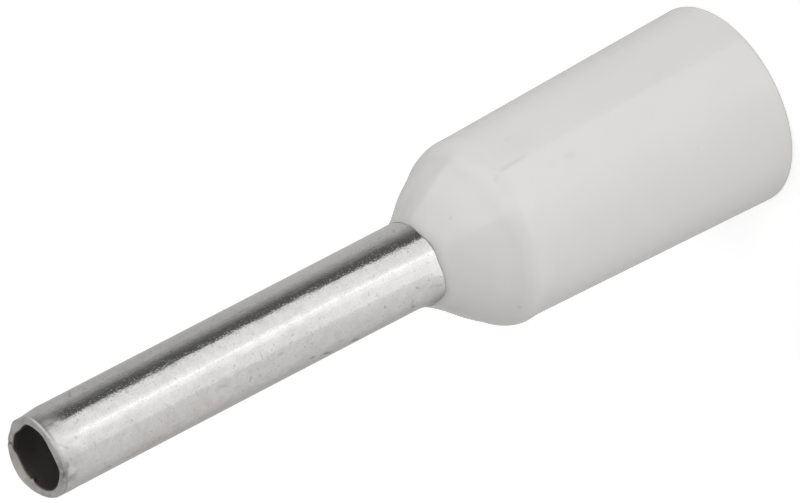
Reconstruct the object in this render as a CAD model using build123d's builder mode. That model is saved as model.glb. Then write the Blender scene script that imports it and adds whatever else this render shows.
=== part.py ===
from build123d import *
from math import radians, tan
import os

# Insulated wire ferrule, the cord-end sleeve for 0.75 mm² stranded wire.
# Two pieces: a thin copper sleeve with one end flared into a funnel, and a moulded
# collar that the sleeve is pushed through from behind until the funnel seats in it.
# Millimetres. The ferrule stands on the collar's mouth: the origin is the centre of
# that mouth, and +Z runs up the axis to the sleeve's cut tip.

# Sleeve: cut from drawn tube, tumbled and tin plated
sleeve_diameter = 1.5
sleeve_wall = 0.15
sleeve_free_length = 8.1
funnel_half_angle = 38.0
funnel_bend = 0.2
tip_outer_edge = 0.04
tip_bore_edge = 0.02
lip_edge = 0.03

# Collar: moulded polypropylene, a barrel that widens slightly from shoulder to mouth
collar_length = 6.9
collar_wall = 0.275
nose_length = 1.21
nose_rim_wall = 0.04
nose_shoulder_round = 0.7
mouth_flare = 0.165
mouth_outer_edge = 0.07
mouth_lead_in = 0.1

# Inside of the collar: a close neck round the sleeve, a cone that backs the funnel,
# and a straight seat for the wire's insulation
neck_length = 0.8
neck_clearance = 0.015
insulation_bore = 2.8
insulation_seat_length = 2.6
insulation_seat_corner = 0.1
funnel_lip_gap = 0.1

sleeve_radius = sleeve_diameter / 2
neck_radius = sleeve_radius + neck_clearance
seat_radius = insulation_bore / 2
shoulder_radius = seat_radius + collar_wall
mouth_radius = shoulder_radius + mouth_flare
lip_radius = seat_radius - funnel_lip_gap

# Heights up the axis, from the collar's mouth. The collar's inner cone and the outside
# of the funnel lie on one cone, which starts at the sleeve's bend
tip_z = collar_length + sleeve_free_length
shoulder_z = collar_length - nose_length
bend_z = collar_length - neck_length
funnel_slope = tan(radians(funnel_half_angle))
lip_z = bend_z - (lip_radius - sleeve_radius) / funnel_slope
neck_bottom_z = bend_z - neck_clearance / funnel_slope
seat_top_z = bend_z - (seat_radius - sleeve_radius) / funnel_slope
seat_bottom_z = seat_top_z - insulation_seat_length

# Sleeve: the outside is drawn from tip to lip, and the wall is laid inside it, so the
# metal keeps one thickness round the bend and along the funnel
with BuildPart() as sleeve:
    with BuildSketch(Plane.XZ) as sleeve_section:
        with BuildLine():
            outside = FilletPolyline(
                (sleeve_radius, tip_z),
                (sleeve_radius, bend_z),
                (lip_radius, lip_z),
                radius=funnel_bend,
            )
            offset(outside, amount=sleeve_wall, side=Side.RIGHT, closed=True)
        make_face()
        fillet(sleeve_section.vertices().sort_by(Axis.Y)[:2], radius=lip_edge)
        tip_face = sleeve_section.edges().sort_by(Axis.Y)[-1]
        fillet(tip_face.vertices().sort_by(Axis.X)[-1], radius=tip_outer_edge)
        tip_face = sleeve_section.edges().sort_by(Axis.Y)[-1]
        fillet(tip_face.vertices().sort_by(Axis.X)[0], radius=tip_bore_edge)
    revolve(axis=Axis.Z)

# Collar: one closed section, from the mouth up the outside, over the nose, and down
# the inside. The funnel seats face to face on the cone below the neck
with BuildPart() as collar:
    with BuildSketch(Plane.XZ):
        with BuildLine():
            FilletPolyline(
                (mouth_radius, 0),
                (shoulder_radius, shoulder_z),
                (neck_radius + nose_rim_wall, collar_length),
                (neck_radius, collar_length),
                (neck_radius, neck_bottom_z),
                (seat_radius, seat_top_z),
                (seat_radius, seat_bottom_z),
                (mouth_radius - collar_wall, 0),
                radius=(
                    mouth_outer_edge,
                    nose_shoulder_round,
                    0,
                    0,
                    funnel_bend,
                    insulation_seat_corner,
                    0,
                    mouth_lead_in,
                ),
                close=True,
            )
        make_face()
    revolve(axis=Axis.Z)

os.makedirs("parts", exist_ok=True)
sleeve.part.label = "sleeve"
collar.part.label = "collar"
export_step(sleeve.part, "parts/sleeve.step")
export_step(collar.part, "parts/collar.step")
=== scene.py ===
from math import atan2, cos, degrees, hypot, pi, radians, sin, tan

import bpy
from mathutils import Matrix, Vector, noise


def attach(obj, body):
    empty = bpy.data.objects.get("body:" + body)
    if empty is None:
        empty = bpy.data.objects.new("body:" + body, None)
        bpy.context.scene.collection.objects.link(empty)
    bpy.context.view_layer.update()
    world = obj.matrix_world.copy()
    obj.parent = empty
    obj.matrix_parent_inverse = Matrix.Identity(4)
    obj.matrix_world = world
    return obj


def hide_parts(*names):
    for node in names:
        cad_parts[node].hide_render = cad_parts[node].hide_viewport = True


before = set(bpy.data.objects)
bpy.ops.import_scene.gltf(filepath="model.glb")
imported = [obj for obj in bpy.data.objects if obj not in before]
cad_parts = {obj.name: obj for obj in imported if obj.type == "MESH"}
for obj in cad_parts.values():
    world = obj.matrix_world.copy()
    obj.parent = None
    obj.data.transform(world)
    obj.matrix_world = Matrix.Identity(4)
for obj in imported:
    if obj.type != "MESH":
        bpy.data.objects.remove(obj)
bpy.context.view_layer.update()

# The wire ferrule stands on its collar's mouth, with the sleeve's cut tip up. All sizes are
# in millimetres, and each mesh is turned to metres as its last step.

# Sleeve
# A copper tube, 1.5 mm across, cut from drawn tube and tumbled with many others while it is
# tin plated, so its skin is bright but pitted and its cut tip is nicked. The hidden end is
# flared into a funnel that seats in the collar's cone.

sleeve_diameter = 1.5
sleeve_wall = 0.15
sleeve_free_length = 8.1
funnel_half_angle = 38.0
funnel_bend = 0.2
tip_outer_edge = 0.04
tip_bore_edge = 0.02
lip_edge = 0.03
funnel_lip_gap = 0.1
collar_length = 6.9
neck_length = 0.8
insulation_bore = 2.8

sleeve_radius = sleeve_diameter / 2
bore_radius = sleeve_radius - sleeve_wall
seat_radius = insulation_bore / 2
lip_radius = seat_radius - funnel_lip_gap
tip_z = collar_length + sleeve_free_length
bend_z = collar_length - neck_length
funnel_slope = tan(radians(funnel_half_angle))
lip_z = bend_z - (lip_radius - sleeve_radius) / funnel_slope

# The collar's core pin stood a little askew in its mould, so the sleeve and the bores lean
# by half a degree from the collar's outside
core_offset_at_nose = 0.0865
core_lean = 0.00785

# How finely the sleeve is drawn: the points round it, and the rows' spacing along it
sleeve_columns = 240
sleeve_row = 0.031

# Scratches from the tumbling, as the degrees round from the front, positive towards +X, and
# the distance from the tip of their two ends, then half their width and their depth
sleeve_scratches = [
    (55, 0.86, 76, 1.04, 0.02, 0.0045),
    (66, 1.02, 78, 1.12, 0.016, 0.003),
    (-66, 0.95, -73, 1.03, 0.022, 0.004),
    (-54, 0.84, -58, 0.9, 0.02, 0.003),
    (-52, 2.28, -55, 2.36, 0.018, 0.0025),
    (-64, 2.86, -67, 2.92, 0.022, 0.004),
    (-27, 3.25, -34, 3.5, 0.018, 0.0022),
    (-31, 3.2, -33, 3.33, 0.016, 0.002),
    (-57, 4.08, -61, 4.14, 0.02, 0.003),
    (-27, 4.56, -29, 4.7, 0.026, 0.0028),
    (-18, 4.34, -21, 4.44, 0.016, 0.0012),
    (-60, 4.82, -63, 4.88, 0.018, 0.003),
    (-59, 5.24, -62, 5.36, 0.024, 0.006),
    (-64, 5.53, -73, 5.76, 0.024, 0.0075),
    (-54, 5.86, -58, 5.94, 0.02, 0.003),
    (-68, 6.16, -75, 6.34, 0.03, 0.008),
    (-47, 7.47, -54, 7.4, 0.022, 0.0025),
    (-56, 7.41, -65, 7.5, 0.022, 0.005),
    (-40, 7.79, -45, 8.05, 0.016, 0.003),
    (51, 7.76, 64, 7.85, 0.018, 0.0025),
    (7, 0.02, -12, 0.26, 0.016, 0.003),
    (11, 0.95, 16, 0.99, 0.016, 0.0015),
    (-1, 2.52, -4, 2.6, 0.014, 0.001),
    (62, 3.9, 74, 4.2, 0.018, 0.002),
    (140, 2.0, 166, 2.9, 0.02, 0.003),
    (-150, 4.4, -128, 5.0, 0.02, 0.003),
    (-175, 6.2, -160, 6.4, 0.02, 0.003),
]

# Warm patches where the copper shows through a thin plating: place, reach round and along
# the tube in mm, and how strong
sleeve_patches = [
    (-62, 1.85, 0.42, 0.85, 0.42),
    (-40, 2.8, 0.2, 0.3, 0.34),
    (-66, 3.2, 0.34, 0.55, 0.3),
    (128, 3.4, 0.4, 0.7, 0.5),
    (-150, 6.3, 0.4, 0.5, 0.5),
]

# Dents at the tip and along the tube: the same two places, then the reach round and along
# the tube, and the depth
sleeve_dents = [
    (-34, 0.22, 0.1, 0.09, 0.012),
    (-22, 0.08, 0.12, 0.08, 0.006),
    (14, 0.55, 0.12, 0.16, 0.004),
    (-4, 0.42, 0.1, 0.14, 0.005),
    (24, 0.3, 0.1, 0.12, 0.004),
    (-8, 0.8, 0.12, 0.16, 0.003),
    (-50, 0.35, 0.12, 0.16, 0.004),
    (-34, 2.95, 0.1, 0.08, 0.003),
    (-16, 4.15, 0.07, 0.06, 0.003),
    (-44, 4.7, 0.1, 0.07, 0.003),
    (120, 1.2, 0.12, 0.1, 0.006),
    (-140, 1.8, 0.14, 0.1, 0.006),
    (160, 5.2, 0.12, 0.12, 0.005),
]

# Where the cut pushed the tip's two edges outward or up: the degrees round, the reach to
# either side, and how far
outer_edge_outward = [(86, 27, -0.05), (122, 22, -0.03), (52, 22, 0.016)]
bore_edge_outward = [(97, 36, -0.074)]
outer_edge_upward = [(-175, 80, 0.102)]
bore_edge_upward = [(172, 24, -0.012), (147, 16, 0.036), (-2, 34, 0.024), (-40, 20, -0.017)]


def core_shift(z):
    """How far the sleeve's own axis stands off to +X at a height."""
    return core_offset_at_nose + core_lean * (z - collar_length)


def hump(value, centre, reach):
    """A smooth rise, 1 at its centre and 0 from its reach on."""
    share = min(abs(value - centre) / reach, 1)
    return 0.5 + 0.5 * cos(pi * share)


def ease(value, start, end):
    """0 up to start, 1 from end on, and smooth between."""
    share = min(max((value - start) / (end - start), 0), 1)
    return share * share * (3 - 2 * share)


def gap(degrees_a, degrees_b):
    """The turn from one direction to another, from -180 to 180 degrees."""
    return (degrees_a - degrees_b + 180) % 360 - 180


def pushed(around, places):
    """How far smooth pushes at places round the tip move a point, in all."""
    return sum(amount * hump(gap(around, place), 0, reach) for place, reach, amount in places)


def junction_form(around, height):
    """How far the tube stands off its round near the nose. It is a hair oval where the collar
    grips it, and bulges on the side that the core leans from."""
    down = tip_z - height
    oval = 0.034 * sin(2 * radians(around)) - 0.004 * sin(4 * radians(around))
    bulge = 0.055 * hump(gap(around, -50), 0, 42) + 0.07 * hump(gap(around, -102), 0, 50)
    grip = min(max((down - 3.9) / 4.2, 0), 1) ** 2
    return bulge * ease(down, 7.7, 8.12) - oval * grip


def arc(centre, radius, start, end, steps):
    """Points along an arc, from one angle in degrees to another."""
    points = []
    for i in range(steps + 1):
        turn = radians(start + (end - start) * i / steps)
        points.append((centre[0] + radius * cos(turn), centre[1] + radius * sin(turn)))
    return points


def rounded(before, corner, after, radius, steps):
    """The arc that rounds a corner between two straight runs."""
    a = (Vector(before) - Vector(corner)).normalized()
    b = (Vector(after) - Vector(corner)).normalized()
    half = a.angle(b) / 2
    centre = Vector(corner) + (a + b).normalized() * (radius / sin(half))
    start = Vector(corner) + a * (radius / tan(half))
    end = Vector(corner) + b * (radius / tan(half))
    first = start - centre
    sweep = first.angle_signed(end - centre)
    points = []
    for i in range(steps + 1):
        turn = Matrix.Rotation(-sweep * i / steps, 2)
        points.append(tuple(centre + turn @ first))
    return points


def spaced(points, longest):
    """The same line with every run cut so that no piece is longer than longest."""
    line = [points[0]]
    for before, after in zip(points, points[1:]):
        run = hypot(after[0] - before[0], after[1] - before[1])
        cuts = max(1, round(run / longest))
        for i in range(1, cuts + 1):
            share = i / cuts
            line.append(
                (
                    before[0] + (after[0] - before[0]) * share,
                    before[1] + (after[1] - before[1]) * share,
                )
            )
    return line


def turned_mesh(name, line, columns, place, marks):
    """A closed line of (radius, height) turned about Z. place gives each point's spot, and
    the strength there of each of the named marks, from 0 to 1."""
    points = []
    strengths = []
    for row, (radius, height) in enumerate(line):
        for column in range(columns):
            angle = 2 * pi * column / columns
            spot, *found = place(radius, height, angle, row)
            points.append(Vector(spot) * 0.001)
            strengths.append(found)
    faces = []
    rows = len(line)
    for row in range(rows):
        above = (row + 1) % rows
        for column in range(columns):
            beside = (column + 1) % columns
            faces.append(
                (
                    row * columns + column,
                    row * columns + beside,
                    above * columns + beside,
                    above * columns + column,
                )
            )
    mesh = bpy.data.meshes.new(name)
    mesh.from_pydata(points, [], faces)
    for mark, values in zip(marks, zip(*strengths)):
        mesh.attributes.new(mark, "FLOAT", "POINT").data.foreach_set("value", values)
    mesh.shade_smooth()
    mesh.update()
    piece = bpy.data.objects.new(name, mesh)
    bpy.context.scene.collection.objects.link(piece)
    return piece


def scratch_share(across, along, ends, half_width):
    """How deep in a straight scratch a point of the unrolled surface lies, from 0 to 1."""
    run = (ends[2] - ends[0], ends[3] - ends[1])
    length = hypot(*run)
    share = ((across - ends[0]) * run[0] + (along - ends[1]) * run[1]) / length**2
    if share < 0 or share > 1:
        return 0.0
    away = abs((across - ends[0]) * run[1] - (along - ends[1]) * run[0]) / length
    if away > half_width * 2:
        return 0.0
    return hump(away, 0, half_width * 2) * min(1, 6 * share, 6 * (1 - share))


# The section runs up the bore, over the tip, down the outside and round the funnel's lip
bend_centre = (sleeve_radius + funnel_bend, bend_z + funnel_bend * tan(radians(funnel_half_angle / 2)))
lip_out = (lip_radius, lip_z)
lip_in = (
    lip_radius - sleeve_wall * cos(radians(funnel_half_angle)),
    lip_z - sleeve_wall * sin(radians(funnel_half_angle)),
)
bend_in = arc(bend_centre, funnel_bend + sleeve_wall, 180 + funnel_half_angle, 180, 8)
bend_out = arc(bend_centre, funnel_bend, 180, 180 + funnel_half_angle, 6)

sleeve_line = rounded(lip_out, lip_in, bend_in[0], lip_edge, 3)
sleeve_line += spaced([sleeve_line[-1], bend_in[0]], 0.1)[1:]
sleeve_line += bend_in[1:]
sleeve_line += spaced([bend_in[-1], (bore_radius, 13.6)], 0.5)[1:]
sleeve_line += spaced([(bore_radius, 13.6), (bore_radius, tip_z - 0.1)], 0.09)[1:]
bore_edge = rounded((bore_radius, 0), (bore_radius, tip_z), (sleeve_radius, tip_z), tip_bore_edge, 4)
sleeve_line += spaced([sleeve_line[-1], bore_edge[0]], 0.03)[1:]
sleeve_line += bore_edge[1:]
outer_edge = rounded((bore_radius, tip_z), (sleeve_radius, tip_z), (sleeve_radius, 0), tip_outer_edge, 6)
sleeve_line += spaced([sleeve_line[-1], outer_edge[0]], 0.018)[1:]
sleeve_line += outer_edge[1:]
sleeve_line += spaced([sleeve_line[-1], (sleeve_radius, tip_z - 0.9)], 0.02)[1:]
sleeve_line += spaced([sleeve_line[-1], (sleeve_radius, collar_length - 0.1)], sleeve_row)[1:]
sleeve_line += spaced([sleeve_line[-1], bend_out[0]], 0.1)[1:]
sleeve_line += bend_out[1:]
lip_back = rounded(bend_out[-1], lip_out, lip_in, lip_edge, 3)
sleeve_line += spaced([bend_out[-1], lip_back[0]], 0.1)[1:]
sleeve_line += lip_back[1:]


def sleeve_place(radius, height, angle, row):
    """The tumbled skin: dents, scratches and a fine unevenness, most of it at the cut tip."""
    around = degrees(atan2(cos(angle), -sin(angle)))
    down = tip_z - height
    through_wall = min(max((radius - bore_radius) / sleeve_wall, 0), 1)
    marks_and_shade = 0.0
    warmth = 0.0
    bright = 0.0
    dull = 1.0 - ease(through_wall, 0, 0.2)
    if radius < sleeve_radius + 0.001 and down < sleeve_free_length + 0.1:
        spot = Vector((radius * cos(angle), radius * sin(angle), height))
        outward = 0.0
        upward = 0.0
        # Painted shade darkens the bore, most by the tip, so that it looks evenly dark all the way in
        marks_and_shade = dull * (1 - 0.55 * ease(down, 0.1, 0.7))
        if through_wall > 0.95:
            outward += junction_form(around, height)
            # Painted shade darkens the tube under the nose, where the collar shades it, and dirt dulls
            # the tip. Between them two stripes are painted brighter, a painted sheen
            marks_and_shade = 0.65 * ease(down, 7.66, 8.05) * hump(gap(around, -80), 0, 44)
            marks_and_shade = max(marks_and_shade, 0.16 * (1 - ease(down, 0.25, 0.6)) * hump(gap(around, -20), 0, 22))
            bright = 0.6 * ease(down, 2.5, 6.5) * hump(gap(around, 78), 0, 48)
            bright += 0.45 * ease(down, 4.8, 7.6) * hump(gap(around, -19), 0, 28)
            outward += noise.noise(spot / 0.45) * 0.0003
            outward += noise.noise(spot / 0.16 + Vector((7, 3, 1))) * 0.00025
            across = radians(around) * sleeve_radius
            for patch_around, patch_down, reach_round, reach_along, strength in sleeve_patches:
                away = hypot(
                    radians(gap(around, patch_around)) * sleeve_radius / reach_round,
                    (down - patch_down) / reach_along,
                )
                warmth = max(warmth, strength * hump(away, 0, 1))
            for start_around, start_down, end_around, end_down, half_width, depth in sleeve_scratches:
                ends = (
                    radians(start_around) * sleeve_radius,
                    start_down,
                    radians(end_around) * sleeve_radius,
                    end_down,
                )
                share = scratch_share(across, down, ends, half_width)
                outward -= depth * share
                marks_and_shade = max(marks_and_shade, 100 * depth * share)
            for dent_around, dent_down, reach_round, reach_along, depth in sleeve_dents:
                away = hypot(
                    radians(gap(around, dent_around)) * sleeve_radius / reach_round,
                    (down - dent_down) / reach_along,
                )
                outward -= depth * hump(away, 0, 1)
        if down < 1.0:
            # The cut pushed the edge up on one side, flattened it on another and left it
            # nicked, and the tumbling peened it
            peened = (1 - ease(down, 0.15, 0.95)) * through_wall**2
            outward += noise.noise(spot / 0.2 + Vector((2, 9, 4))) * 0.005 * peened
            outward += noise.noise(spot / 0.09 + Vector((4, 1, 8))) * 0.0022 * peened
            near_tip = 1 - ease(down, 0, 0.5)
            edge = 1 - ease(down, 0, 0.22)
            outer = through_wall**2
            inner = 1 - outer
            outward += pushed(around, outer_edge_outward) * near_tip * outer
            outward += pushed(around, bore_edge_outward) * near_tip * inner
            upward += pushed(around, outer_edge_upward) * edge * outer
            upward += pushed(around, bore_edge_upward) * edge * inner
            upward += noise.noise(spot / 0.09) * 0.003 * edge
            # A dark nick, stains and a little bare copper on the cut face, and a burr
            nick = hump(gap(around, 142), 0, 4.5) * edge
            outward -= 0.01 * nick * outer
            upward -= 0.01 * nick
            face = hump(through_wall, 0.55, 0.5) * (1 - ease(down, 0.0, 0.05))
            stains = ease(noise.noise(spot / 0.14 + Vector((1, 6, 2))), -0.1, 0.45)
            marks_and_shade = max(marks_and_shade, 0.8 * nick, 0.25 * face * stains)
            warmth = max(warmth, 0.5 * face * hump(gap(around, 178), 0, 60))
            burr = hump(gap(around, -148), 0, 7) * (1 - ease(down, 0.02, 0.07)) * inner
            outward -= 0.055 * burr
            # Grey scuffs beside the cut, and a darker line along its edge
            smears = noise.noise(Vector((spot.x, spot.y, spot.z * 0.6)) / 0.11 + Vector((5, 5, 5)))
            scuffs = ease(smears + 0.7 * near_tip, 0.35, 0.95)
            scuffs *= hump(gap(around, -38), 0, 32) * (1 - ease(down, 0.12, 0.4))
            marks_and_shade = max(marks_and_shade, 0.75 * scuffs * (0.55 + 0.45 * outer))
            edge_line = hump(down, 0.06, 0.05) * outer
            edge_line *= max(0.5 * hump(gap(around, 18), 0, 55), 0.75 * hump(gap(around, -45), 0, 55))
            marks_and_shade = max(marks_and_shade, edge_line)
            dull = max(dull, 0.55 * (1 - ease(down, 0.28, 0.6)), 1 - ease(down, 0.03, 0.1))
        radius += outward
        height += upward
    x = radius * cos(angle) + core_shift(height)
    return (x, radius * sin(angle), height), marks_and_shade, warmth, dull, bright


sleeve_marks = ("marks_and_shade", "warmth", "dull", "bright")
sleeve = turned_mesh("tinned_sleeve", sleeve_line, sleeve_columns, sleeve_place, sleeve_marks)


def linear(hex_colour):
    """An sRGB hex colour as the linear colour that Blender's sockets take."""
    channels = []
    for i in (0, 2, 4):
        value = int(hex_colour[i : i + 2], 16) / 255
        channels.append(value / 12.92 if value <= 0.04045 else ((value + 0.055) / 1.055) ** 2.4)
    return (*channels, 1.0)


def add_node(tree, kind, settings=None, inputs=None):
    """Adds a node. An input is a value, or another node's output socket to link from."""
    node = tree.nodes.new(kind)
    for name, value in (settings or {}).items():
        setattr(node, name, value)
    for name, value in (inputs or {}).items():
        if isinstance(value, bpy.types.NodeSocket):
            tree.links.new(value, node.inputs[name])
        else:
            node.inputs[name].default_value = value
    return node


def new_material(name):
    """A material with an empty node tree, and that tree."""
    material = bpy.data.materials.new(name)
    material.use_nodes = True
    material.node_tree.nodes.clear()
    return material, material.node_tree


# Tin plate is a mid grey metal, duller than silver. Tumbling leaves it mirror-like but
# uneven, with waves about 0.3 mm long, clouding about 0.15 mm across and draw lines along
# the tube. The pits are drawn about 0.035 mm across, two pixels of the render. Finer ones
# wouldn't show. Where the plating is thin, the copper warms it
tin, tree = new_material("tumbled tin plate on copper")
place = add_node(tree, "ShaderNodeTexCoord")
in_mm = add_node(
    tree,
    "ShaderNodeVectorMath",
    {"operation": "SCALE"},
    {"Vector": place.outputs["Object"], "Scale": 1000.0},
)
grain = add_node(
    tree,
    "ShaderNodeTexNoise",
    inputs={"Vector": in_mm.outputs[0], "Scale": 28.0, "Detail": 1.0, "Roughness": 0.5},
)
pits = add_node(
    tree,
    "ShaderNodeMapRange",
    {"interpolation_type": "SMOOTHSTEP"},
    {"Value": grain.outputs["Fac"], "From Min": 0.54, "From Max": 0.7},
)
peel = add_node(
    tree,
    "ShaderNodeTexNoise",
    inputs={"Vector": in_mm.outputs[0], "Scale": 3.2, "Detail": 1.0, "Roughness": 0.5},
)
along = add_node(
    tree, "ShaderNodeMapping", inputs={"Vector": in_mm.outputs[0], "Scale": (1.0, 1.0, 0.09)}
)
draw_lines = add_node(
    tree,
    "ShaderNodeTexNoise",
    inputs={"Vector": along.outputs[0], "Scale": 13.0, "Detail": 2.0, "Roughness": 0.6},
)
warmth = add_node(tree, "ShaderNodeAttribute", {"attribute_name": "warmth"})
mottle = add_node(
    tree,
    "ShaderNodeTexNoise",
    inputs={"Vector": in_mm.outputs[0], "Scale": 6.0, "Detail": 4.0, "Roughness": 0.75},
)
clouding = add_node(
    tree,
    "ShaderNodeMapRange",
    {"interpolation_type": "SMOOTHSTEP"},
    {"Value": mottle.outputs["Fac"], "From Min": 0.34, "From Max": 0.64},
)
clean = add_node(
    tree,
    "ShaderNodeMix",
    {"data_type": "RGBA"},
    {"Factor": clouding.outputs["Result"], "A": linear("CFCECC"), "B": linear("DBDAD8")},
)
plated = add_node(
    tree,
    "ShaderNodeMix",
    {"data_type": "RGBA"},
    {"Factor": warmth.outputs["Fac"], "A": clean.outputs["Result"], "B": linear("D3C6BE")},
)
# Painted sheen: two stripes along the tube are painted a lighter tin colour
bright = add_node(tree, "ShaderNodeAttribute", {"attribute_name": "bright"})
painted_sheen = add_node(
    tree,
    "ShaderNodeMix",
    {"data_type": "RGBA"},
    {"Factor": bright.outputs["Fac"], "A": plated.outputs["Result"], "B": linear("F0EFEC")},
)
specks = add_node(
    tree,
    "ShaderNodeTexNoise",
    inputs={"Vector": in_mm.outputs[0], "Scale": 12.0, "Detail": 2.0, "Roughness": 0.6},
)
speck_share = add_node(
    tree,
    "ShaderNodeMapRange",
    {"interpolation_type": "SMOOTHSTEP"},
    {"Value": specks.outputs["Fac"], "From Min": 0.58, "From Max": 0.76, "To Max": 0.38},
)
# Scratches, specks, stains and dirt darken the skin, and so does painted shade in the bore and under the
# nose
marks_and_shade = add_node(tree, "ShaderNodeAttribute", {"attribute_name": "marks_and_shade"})
dirt_and_shade = add_node(
    tree,
    "ShaderNodeMath",
    {"operation": "MAXIMUM"},
    {0: marks_and_shade.outputs["Fac"], 1: speck_share.outputs["Result"]},
)
skin = add_node(
    tree,
    "ShaderNodeMix",
    {"data_type": "RGBA"},
    {"Factor": dirt_and_shade.outputs[0], "A": painted_sheen.outputs["Result"], "B": linear("77736E")},
)
shine = add_node(
    tree,
    "ShaderNodeMapRange",
    inputs={
        "Value": mottle.outputs["Fac"],
        "From Min": 0.3,
        "From Max": 0.7,
        "To Min": 0.15,
        "To Max": 0.11,
    },
)
# The pits are matt, and the scuffed tip and the bore are not burnished at all
dull = add_node(tree, "ShaderNodeAttribute", {"attribute_name": "dull"})
pit_share = add_node(
    tree, "ShaderNodeMath", {"operation": "MULTIPLY"}, {0: pits.outputs["Result"], 1: 0.25}
)
matt_share = add_node(
    tree,
    "ShaderNodeMath",
    {"operation": "MAXIMUM"},
    {0: dull.outputs["Fac"], 1: pit_share.outputs[0]},
)
roughness = add_node(
    tree,
    "ShaderNodeMix",
    {"data_type": "FLOAT"},
    {"Factor": matt_share.outputs[0], "A": shine.outputs["Result"], "B": 0.55},
)
bare = add_node(
    tree,
    "ShaderNodeMapRange",
    inputs={"Value": dull.outputs["Fac"], "To Min": 1.0, "To Max": 0.94},
)
peel_bump = add_node(
    tree, "ShaderNodeBump", inputs={"Height": peel.outputs["Fac"], "Distance": 0.000003}
)
pit_bump = add_node(
    tree,
    "ShaderNodeBump",
    inputs={"Height": pits.outputs["Result"], "Distance": 0.0000009, "Normal": peel_bump.outputs[0]},
)
line_bump = add_node(
    tree,
    "ShaderNodeBump",
    inputs={"Height": draw_lines.outputs["Fac"], "Distance": 0.000002, "Normal": pit_bump.outputs[0]},
)
metal = add_node(
    tree,
    "ShaderNodeBsdfPrincipled",
    inputs={
        "Base Color": skin.outputs["Result"],
        "Metallic": bare.outputs["Result"],
        "Roughness": roughness.outputs["Result"],
        "Normal": line_bump.outputs[0],
    },
)
add_node(tree, "ShaderNodeOutputMaterial", inputs={"Surface": metal.outputs["BSDF"]})
sleeve.data.materials.append(tin)

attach(sleeve, "root")
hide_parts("sleeve")

# Collar
# A moulded polypropylene collar, pale grey. A barrel that widens a little to its mouth, a
# rounded shoulder and a conical nose that closes on the sleeve. Inside it a cone backs the
# sleeve's funnel, and a straight seat takes the wire's insulation.

collar_wall = 0.275
nose_length = 1.21
nose_rim_wall = 0.04
nose_shoulder_round = 0.7
mouth_flare = 0.165
# The photographed mouth's edge is 0.04 mm rounder than the solid's
mouth_outer_edge = 0.11
mouth_lead_in = 0.1
neck_clearance = 0.015
insulation_seat_length = 2.6
insulation_seat_corner = 0.1

neck_radius = sleeve_radius + neck_clearance
nose_rim_radius = neck_radius + nose_rim_wall
shoulder_radius = seat_radius + collar_wall
mouth_radius = shoulder_radius + mouth_flare
mouth_inner_radius = mouth_radius - collar_wall
shoulder_z = collar_length - nose_length
neck_bottom_z = bend_z - neck_clearance / funnel_slope
seat_top_z = bend_z - (seat_radius - sleeve_radius) / funnel_slope
seat_bottom_z = seat_top_z - insulation_seat_length

# The nose ends in a soft lip that closes on the sleeve
lip_start_z = collar_length - 0.18
lip_steps = 14
grip_gap = 0.002

# The points round the collar, and the rows' spacing along its outside
collar_columns = 288
collar_row = 0.038

# Faint scratches on the barrel by the shoulder, as the degrees round and the height of
# their two ends, then half their width and how strong they are
collar_scratches = [
    (22.5, 5.67, 26.6, 5.52, 0.04, 0.14),
    (26.4, 5.55, 27.6, 4.84, 0.03, 0.2),
    (42.6, 4.96, 44.6, 4.78, 0.05, 0.07),
    (15.8, 4.34, 13.6, 4.08, 0.045, 0.1),
]
# Faint rubbed marks and specks: place, reach round and up in mm, and how strong
collar_marks = [
    # The first mark is a scuffed patch on the shoulder, and also painted shade that dims the shoulder's
    # highlight
    (20, 5.56, 0.6, 0.3, 0.06),
    (36, 4.7, 0.34, 0.5, 0.03),
    (15.4, 4.58, 0.1, 0.12, 0.06),
    (21.3, 6.47, 0.04, 0.04, 0.3),
    (-66.6, 5.85, 0.05, 0.04, 0.35),
    (-26.1, 4.39, 0.035, 0.035, 0.22),
    (-15.7, 1.94, 0.035, 0.035, 0.22),
    (150, 3.1, 0.03, 0.05, 0.35),
    (-120, 2.4, 0.03, 0.03, 0.3),
]

mouth_corner = (mouth_radius, 0)
shoulder = (shoulder_radius, shoulder_z)
nose_rim = (nose_rim_radius, collar_length)
nose_slope = (shoulder_radius - nose_rim_radius) / nose_length
lip_start = (nose_rim_radius + nose_slope * (collar_length - lip_start_z), lip_start_z)
neck_top = (neck_radius, collar_length - 0.12)
neck_bottom = (neck_radius, neck_bottom_z)
seat_top = (seat_radius, seat_top_z)
seat_bottom = (seat_radius, seat_bottom_z)
mouth_inner = (mouth_inner_radius, 0)

outside = rounded(mouth_inner, mouth_corner, shoulder, mouth_outer_edge, 8)
shoulder_arc = rounded(mouth_corner, shoulder, nose_rim, nose_shoulder_round, 18)
outside += spaced([outside[-1], shoulder_arc[0]], collar_row)[1:]
outside += shoulder_arc[1:]
outside += spaced([outside[-1], lip_start], collar_row)[1:]
lip = [(lip_start[0], collar_length)] * lip_steps
inside = [neck_top]
neck_arc = rounded(neck_top, neck_bottom, seat_top, funnel_bend, 6)
seat_arc = rounded(neck_bottom, seat_top, seat_bottom, insulation_seat_corner, 5)
lead_in = rounded(seat_bottom, mouth_inner, mouth_corner, mouth_lead_in, 6)
inside += spaced([neck_top, neck_arc[0]], 0.12)[1:]
inside += neck_arc[1:]
inside += spaced([inside[-1], seat_arc[0]], 0.1)[1:]
inside += seat_arc[1:]
inside += spaced([inside[-1], seat_bottom], 0.15)[1:]
inside += spaced([seat_bottom, lead_in[0]], 0.1)[1:]
inside += lead_in[1:]
inside += spaced([inside[-1], outside[0]], 0.05)[1:-1]
collar_line = outside + lip + inside
last_outside_row = len(outside) - 1
last_lip_row = last_outside_row + lip_steps


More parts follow.
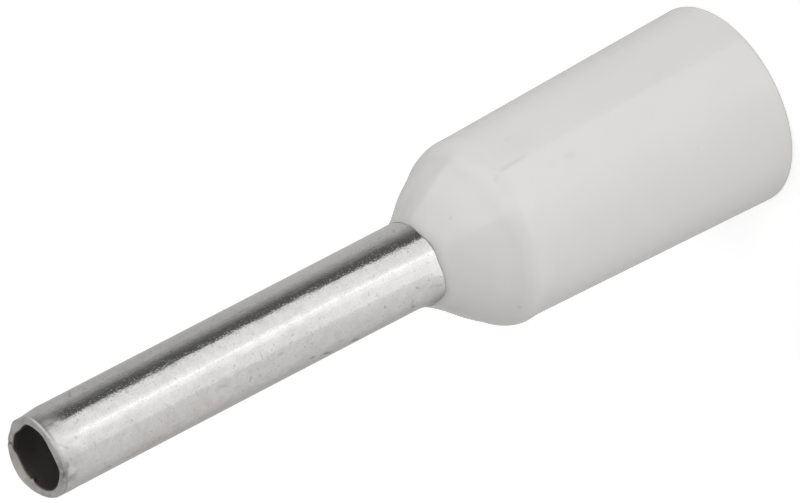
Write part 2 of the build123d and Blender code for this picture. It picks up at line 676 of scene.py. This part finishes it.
def outside_place(radius, height, angle):
    """The moulded outside: the nose swells a little, and leans to where the sleeve comes out."""
    radius += 0.024 * hump(height, 6.28, 0.4)
    radius += 0.012 * hump(height, 5.48, 0.28)
    lean = 0.036 * ease(height, 5.95, 6.55) - 0.015 * hump(height, 5.62, 0.35)
    spot = Vector((radius * cos(angle), radius * sin(angle), height))
    radius += 0.0012 * noise.noise(spot / 1.3)
    return Vector((radius * cos(angle) + lean, radius * sin(angle), height))


def collar_place(radius, height, angle, row):
    """The marked outside, the lip that closes on the sleeve, and the bores on its axis."""
    around = degrees(atan2(cos(angle), -sin(angle)))
    marks_and_shade = 0.0
    if row <= last_outside_row:
        # Painted shade darkens the nose towards the neck, where the sleeve shades it
        marks_and_shade = 0.1 * ease(height, 6.35, 6.8)
        across = radians(around) * shoulder_radius
        for start_around, start_z, end_around, end_z, half_width, strength in collar_scratches:
            ends = (
                radians(start_around) * shoulder_radius,
                start_z,
                radians(end_around) * shoulder_radius,
                end_z,
            )
            marks_and_shade = max(marks_and_shade, strength * scratch_share(across, height, ends, half_width))
        for mark_around, mark_z, reach_round, reach_up, strength in collar_marks:
            away = hypot(
                radians(gap(around, mark_around)) * radius / reach_round,
                (height - mark_z) / reach_up,
            )
            marks_and_shade = max(marks_and_shade, strength * hump(away, 0, 1))
        return outside_place(radius, height, angle), marks_and_shade
    if row <= last_lip_row:
        # The lip runs on from the cone and creeps up the sleeve on the side that the core leans from.
        # Painted shade darkens the lip towards the crease
        share = (row - last_outside_row) / lip_steps
        climb = hump(gap(around, -105), 0, 52)
        end_z = collar_length + 0.012 + 0.18 * climb + 0.02 * hump(gap(around, 90), 0, 50)
        end_z -= 0.028 * hump(gap(around, 5), 0, 26)
        hold = sleeve_radius + grip_gap + junction_form(around, end_z)
        end = Vector((hold * cos(angle) + core_shift(end_z), hold * sin(angle), end_z))
        over_z = collar_length - 0.03 + 0.088 * climb
        over_radius = lip_start[0] - nose_slope * (over_z - lip_start_z)
        over = outside_place(over_radius, over_z, angle)
        start = outside_place(*lip_start, angle)
        marks_and_shade = 0.1 * (1 - share) + share**2 * 0.6 * hump(gap(around, -65), 0, 70)
        return start * (1 - share) ** 2 + over * 2 * share * (1 - share) + end * share**2, marks_and_shade
    across = radius * cos(angle)
    if height > 0.0001:
        across += core_shift(height)
    return (across, radius * sin(angle), height), marks_and_shade


collar = turned_mesh("moulded_collar", collar_line, collar_columns, collar_place, ("marks_and_shade",))

# Polypropylene is waxy: light goes a few tenths of a millimetre into it and comes out again,
# which softens its shadows. The polished mould leaves it glossy, with a very faint ripple
plastic, tree = new_material("moulded polypropylene")
place = add_node(tree, "ShaderNodeTexCoord")
in_mm = add_node(
    tree,
    "ShaderNodeVectorMath",
    {"operation": "SCALE"},
    {"Vector": place.outputs["Object"], "Scale": 1000.0},
)
cloud = add_node(
    tree,
    "ShaderNodeTexNoise",
    inputs={"Vector": in_mm.outputs[0], "Scale": 0.9, "Detail": 3.0, "Roughness": 0.5},
)
tint = add_node(
    tree,
    "ShaderNodeMix",
    {"data_type": "RGBA"},
    {"Factor": cloud.outputs["Fac"], "A": linear("D8D7D5"), "B": linear("DCDBD9")},
)
# Scratches and marks darken the plastic, and so does painted shade towards the neck and in the crease by
# the sleeve
marks_and_shade = add_node(tree, "ShaderNodeAttribute", {"attribute_name": "marks_and_shade"})
skin = add_node(
    tree,
    "ShaderNodeMix",
    {"data_type": "RGBA"},
    {"Factor": marks_and_shade.outputs["Fac"], "A": tint.outputs["Result"], "B": linear("A09D9A")},
)
ripple = add_node(
    tree,
    "ShaderNodeTexNoise",
    inputs={"Vector": in_mm.outputs[0], "Scale": 2.2, "Detail": 2.0, "Roughness": 0.5},
)
ripple_bump = add_node(
    tree, "ShaderNodeBump", inputs={"Height": ripple.outputs["Fac"], "Distance": 0.0000015}
)
body = add_node(
    tree,
    "ShaderNodeBsdfPrincipled",
    inputs={
        "Base Color": skin.outputs["Result"],
        "Roughness": 0.04,
        "IOR": 1.49,
        "Subsurface Weight": 0.3,
        "Subsurface Radius": (1.0, 0.95, 0.9),
        "Subsurface Scale": 0.0004,
        "Normal": ripple_bump.outputs[0],
    },
)
add_node(tree, "ShaderNodeOutputMaterial", inputs={"Surface": body.outputs["BSDF"]})
collar.data.materials.append(plastic)

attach(collar, "root")
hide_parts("collar")

# Studio
# A white floor and a white surround, lit by softboxes at the front and a weaker one behind.
# Metal and gloss see large bright panels with dark gaps beside them, below the horizon and
# above it, which is what gives a bright tube its streaks.

# The brightness of a reflection by the degrees round from the front, positive towards +X:
# what lies below the horizon, above it, and overhead
low_panels = [
    (-180, 0.50),
    (-140, 0.50),
    (-100, 0.73),
    (-50, 0.83),
    (-42.5, 0.85),
    (-41, 1.03),
    (-13, 1.08),
    (-4, 1.28),
    (3, 1.33),
    (3.8, 1.6),
    (8.2, 1.6),
    (9, 1.33),
    (18, 1.12),
    (52.4, 1.00),
    (54.6, 0.12),
    (76, 0.12),
    (108, 0.53),
    (180, 0.53),
]
raised_panels = [
    (-180, 0.50),
    (-60, 0.50),
    (-39.5, 0.52),
    (-37.5, 0.24),
    (3, 0.24),
    (5, 1.20),
    (105, 1.24),
    (107, 0.22),
    (130, 0.22),
    (160, 0.50),
    (180, 0.50),
]
overhead_level = 0.5


def surround_level(tree, vector, stops):
    """The surround's brightness in a reflection, by the direction round Z."""
    axes = add_node(tree, "ShaderNodeSeparateXYZ", inputs={"Vector": vector})
    front = add_node(tree, "ShaderNodeMath", {"operation": "MULTIPLY"}, {0: axes.outputs["Y"], 1: -1.0})
    angle = add_node(
        tree, "ShaderNodeMath", {"operation": "ARCTAN2"}, {0: axes.outputs["X"], 1: front.outputs[0]}
    )
    share = add_node(
        tree,
        "ShaderNodeMapRange",
        inputs={"Value": angle.outputs[0], "From Min": -pi, "From Max": pi},
    )
    ramp = add_node(tree, "ShaderNodeValToRGB", inputs={"Fac": share.outputs["Result"]})
    elements = ramp.color_ramp.elements
    while len(elements) < len(stops):
        elements.new(0.5)
    for element, (around, level) in zip(elements, stops):
        element.position = (around + 180) / 360
    for element, (around, level) in zip(elements, stops):
        element.color = (level, level, level, 1.0)
    return ramp.outputs["Color"]


floor_half = 500
floor_corners = [(-1, -1), (1, -1), (1, 1), (-1, 1)]
floor_mesh = bpy.data.meshes.new("floor")
floor_mesh.from_pydata(
    [Vector((x * floor_half, y * floor_half, 0)) * 0.001 for x, y in floor_corners],
    [],
    [(0, 1, 2, 3)],
)
floor = bpy.data.objects.new("floor", floor_mesh)
bpy.context.scene.collection.objects.link(floor)
# Reflections look through the floor to the panels that stand below its edge, as they do
# from a small glass shelf
floor.visible_glossy = False

paper, tree = new_material("white paper")
rays = add_node(tree, "ShaderNodeLightPath")
matt = add_node(tree, "ShaderNodeBsdfDiffuse", inputs={"Color": linear("F2F2F2")})
# The lamps bring the paper to just over half, and the glow brings it to white, apart from
# a faint shadow by the mouth
seen = add_node(
    tree,
    "ShaderNodeMath",
    {"operation": "MAXIMUM"},
    {0: rays.outputs["Is Camera Ray"], 1: rays.outputs["Is Transmission Ray"]},
)
glow_level = add_node(tree, "ShaderNodeMath", {"operation": "MULTIPLY"}, {0: seen.outputs[0], 1: 0.49})
glow = add_node(tree, "ShaderNodeEmission", inputs={"Strength": glow_level.outputs[0]})
lit = add_node(tree, "ShaderNodeAddShader", inputs={0: matt.outputs[0], 1: glow.outputs[0]})
add_node(tree, "ShaderNodeOutputMaterial", inputs={"Surface": lit.outputs[0]})
floor.data.materials.append(paper)

world = bpy.data.worlds.new("studio")
bpy.context.scene.world = world
world.use_nodes = True
tree = world.node_tree
tree.nodes.clear()
rays = add_node(tree, "ShaderNodeLightPath")
place = add_node(tree, "ShaderNodeTexCoord")
fill = add_node(tree, "ShaderNodeBackground", inputs={"Color": (1, 1, 1, 1), "Strength": 0.35})
white = add_node(tree, "ShaderNodeBackground", inputs={"Color": (1, 1, 1, 1), "Strength": 1.0})
towards = place.outputs["Generated"]
height = add_node(tree, "ShaderNodeSeparateXYZ", inputs={"Vector": towards})
above_horizon = add_node(
    tree,
    "ShaderNodeMapRange",
    {"interpolation_type": "SMOOTHSTEP"},
    {"Value": height.outputs["Z"], "From Min": -0.1, "From Max": 0.1},
)
above_panels = add_node(
    tree,
    "ShaderNodeMapRange",
    {"interpolation_type": "SMOOTHSTEP"},
    {"Value": height.outputs["Z"], "From Min": 0.72, "From Max": 0.82},
)
around_it = add_node(
    tree,
    "ShaderNodeMix",
    {"data_type": "RGBA"},
    {
        "Factor": above_horizon.outputs["Result"],
        "A": surround_level(tree, towards, low_panels),
        "B": surround_level(tree, towards, raised_panels),
    },
)
all_round = add_node(
    tree,
    "ShaderNodeMix",
    {"data_type": "RGBA"},
    {
        "Factor": above_panels.outputs["Result"],
        "A": around_it.outputs["Result"],
        "B": (overhead_level, overhead_level, overhead_level, 1.0),
    },
)
panels = add_node(tree, "ShaderNodeBackground", inputs={"Color": all_round.outputs["Result"]})
seen = add_node(
    tree,
    "ShaderNodeMath",
    {"operation": "MAXIMUM"},
    {0: rays.outputs["Is Camera Ray"], 1: rays.outputs["Is Transmission Ray"]},
)
part_way = add_node(
    tree,
    "ShaderNodeMixShader",
    inputs={0: rays.outputs["Is Glossy Ray"], 1: fill.outputs[0], 2: panels.outputs[0]},
)
all_rays = add_node(
    tree,
    "ShaderNodeMixShader",
    inputs={0: seen.outputs[0], 1: part_way.outputs[0], 2: white.outputs[0]},
)
add_node(tree, "ShaderNodeOutputWorld", inputs={"Surface": all_rays.outputs[0]})


def softbox(name, azimuth, elevation, distance, width, height, level):
    """An area lamp that faces the ferrule, of a given brightness as seen."""
    lamp = bpy.data.lights.new(name, "AREA")
    lamp.shape = "RECTANGLE"
    lamp.size = width * 0.001
    lamp.size_y = height * 0.001
    lamp.energy = level * pi * lamp.size * lamp.size_y
    holder = bpy.data.objects.new(name, lamp)
    bpy.context.scene.collection.objects.link(holder)
    a = radians(azimuth)
    e = radians(elevation)
    towards = Vector((sin(a) * cos(e), -cos(a) * cos(e), sin(e)))
    holder.location = (towards * distance + Vector((0, 0, 7.5))) * 0.001
    holder.rotation_euler = towards.to_track_quat("Z", "Y").to_euler()
    holder.visible_camera = False
    holder.visible_glossy = False
    return holder


softbox("right softbox", 75, 10, 90, 55, 32, 4.6)
softbox("front softbox", 3, 10, 90, 55, 32, 6.0)
softbox("left softbox", -65, 10, 90, 55, 32, 2.5)
softbox("back softbox", 180, 25, 90, 110, 50, 1.1)

# Camera
# It looks down on the ferrule's front from 29 degrees above, with a long lens, and is rolled
# so that the ferrule lies across the picture.

camera_data = bpy.data.cameras.new("camera")
camera_data.lens = 495.85
camera_data.clip_start = 0.01
camera_data.clip_end = 2
camera = bpy.data.objects.new("camera", camera_data)
bpy.context.scene.collection.objects.link(camera)
camera.location = Vector((0, -162.4308, 98.4890)) * 0.001
look_down = radians(29.3762)
look_right = radians(0.1221)
roll = radians(-117.8912)
camera.rotation_mode = "QUATERNION"
camera.rotation_quaternion = (
    Matrix.Rotation(-look_right, 4, "Z")
    @ Matrix.Rotation(pi / 2 - look_down, 4, "X")
    @ Matrix.Rotation(roll, 4, "Z")
).to_quaternion()
bpy.context.scene.camera = camera

bpy.context.scene.view_settings.view_transform = "Standard"
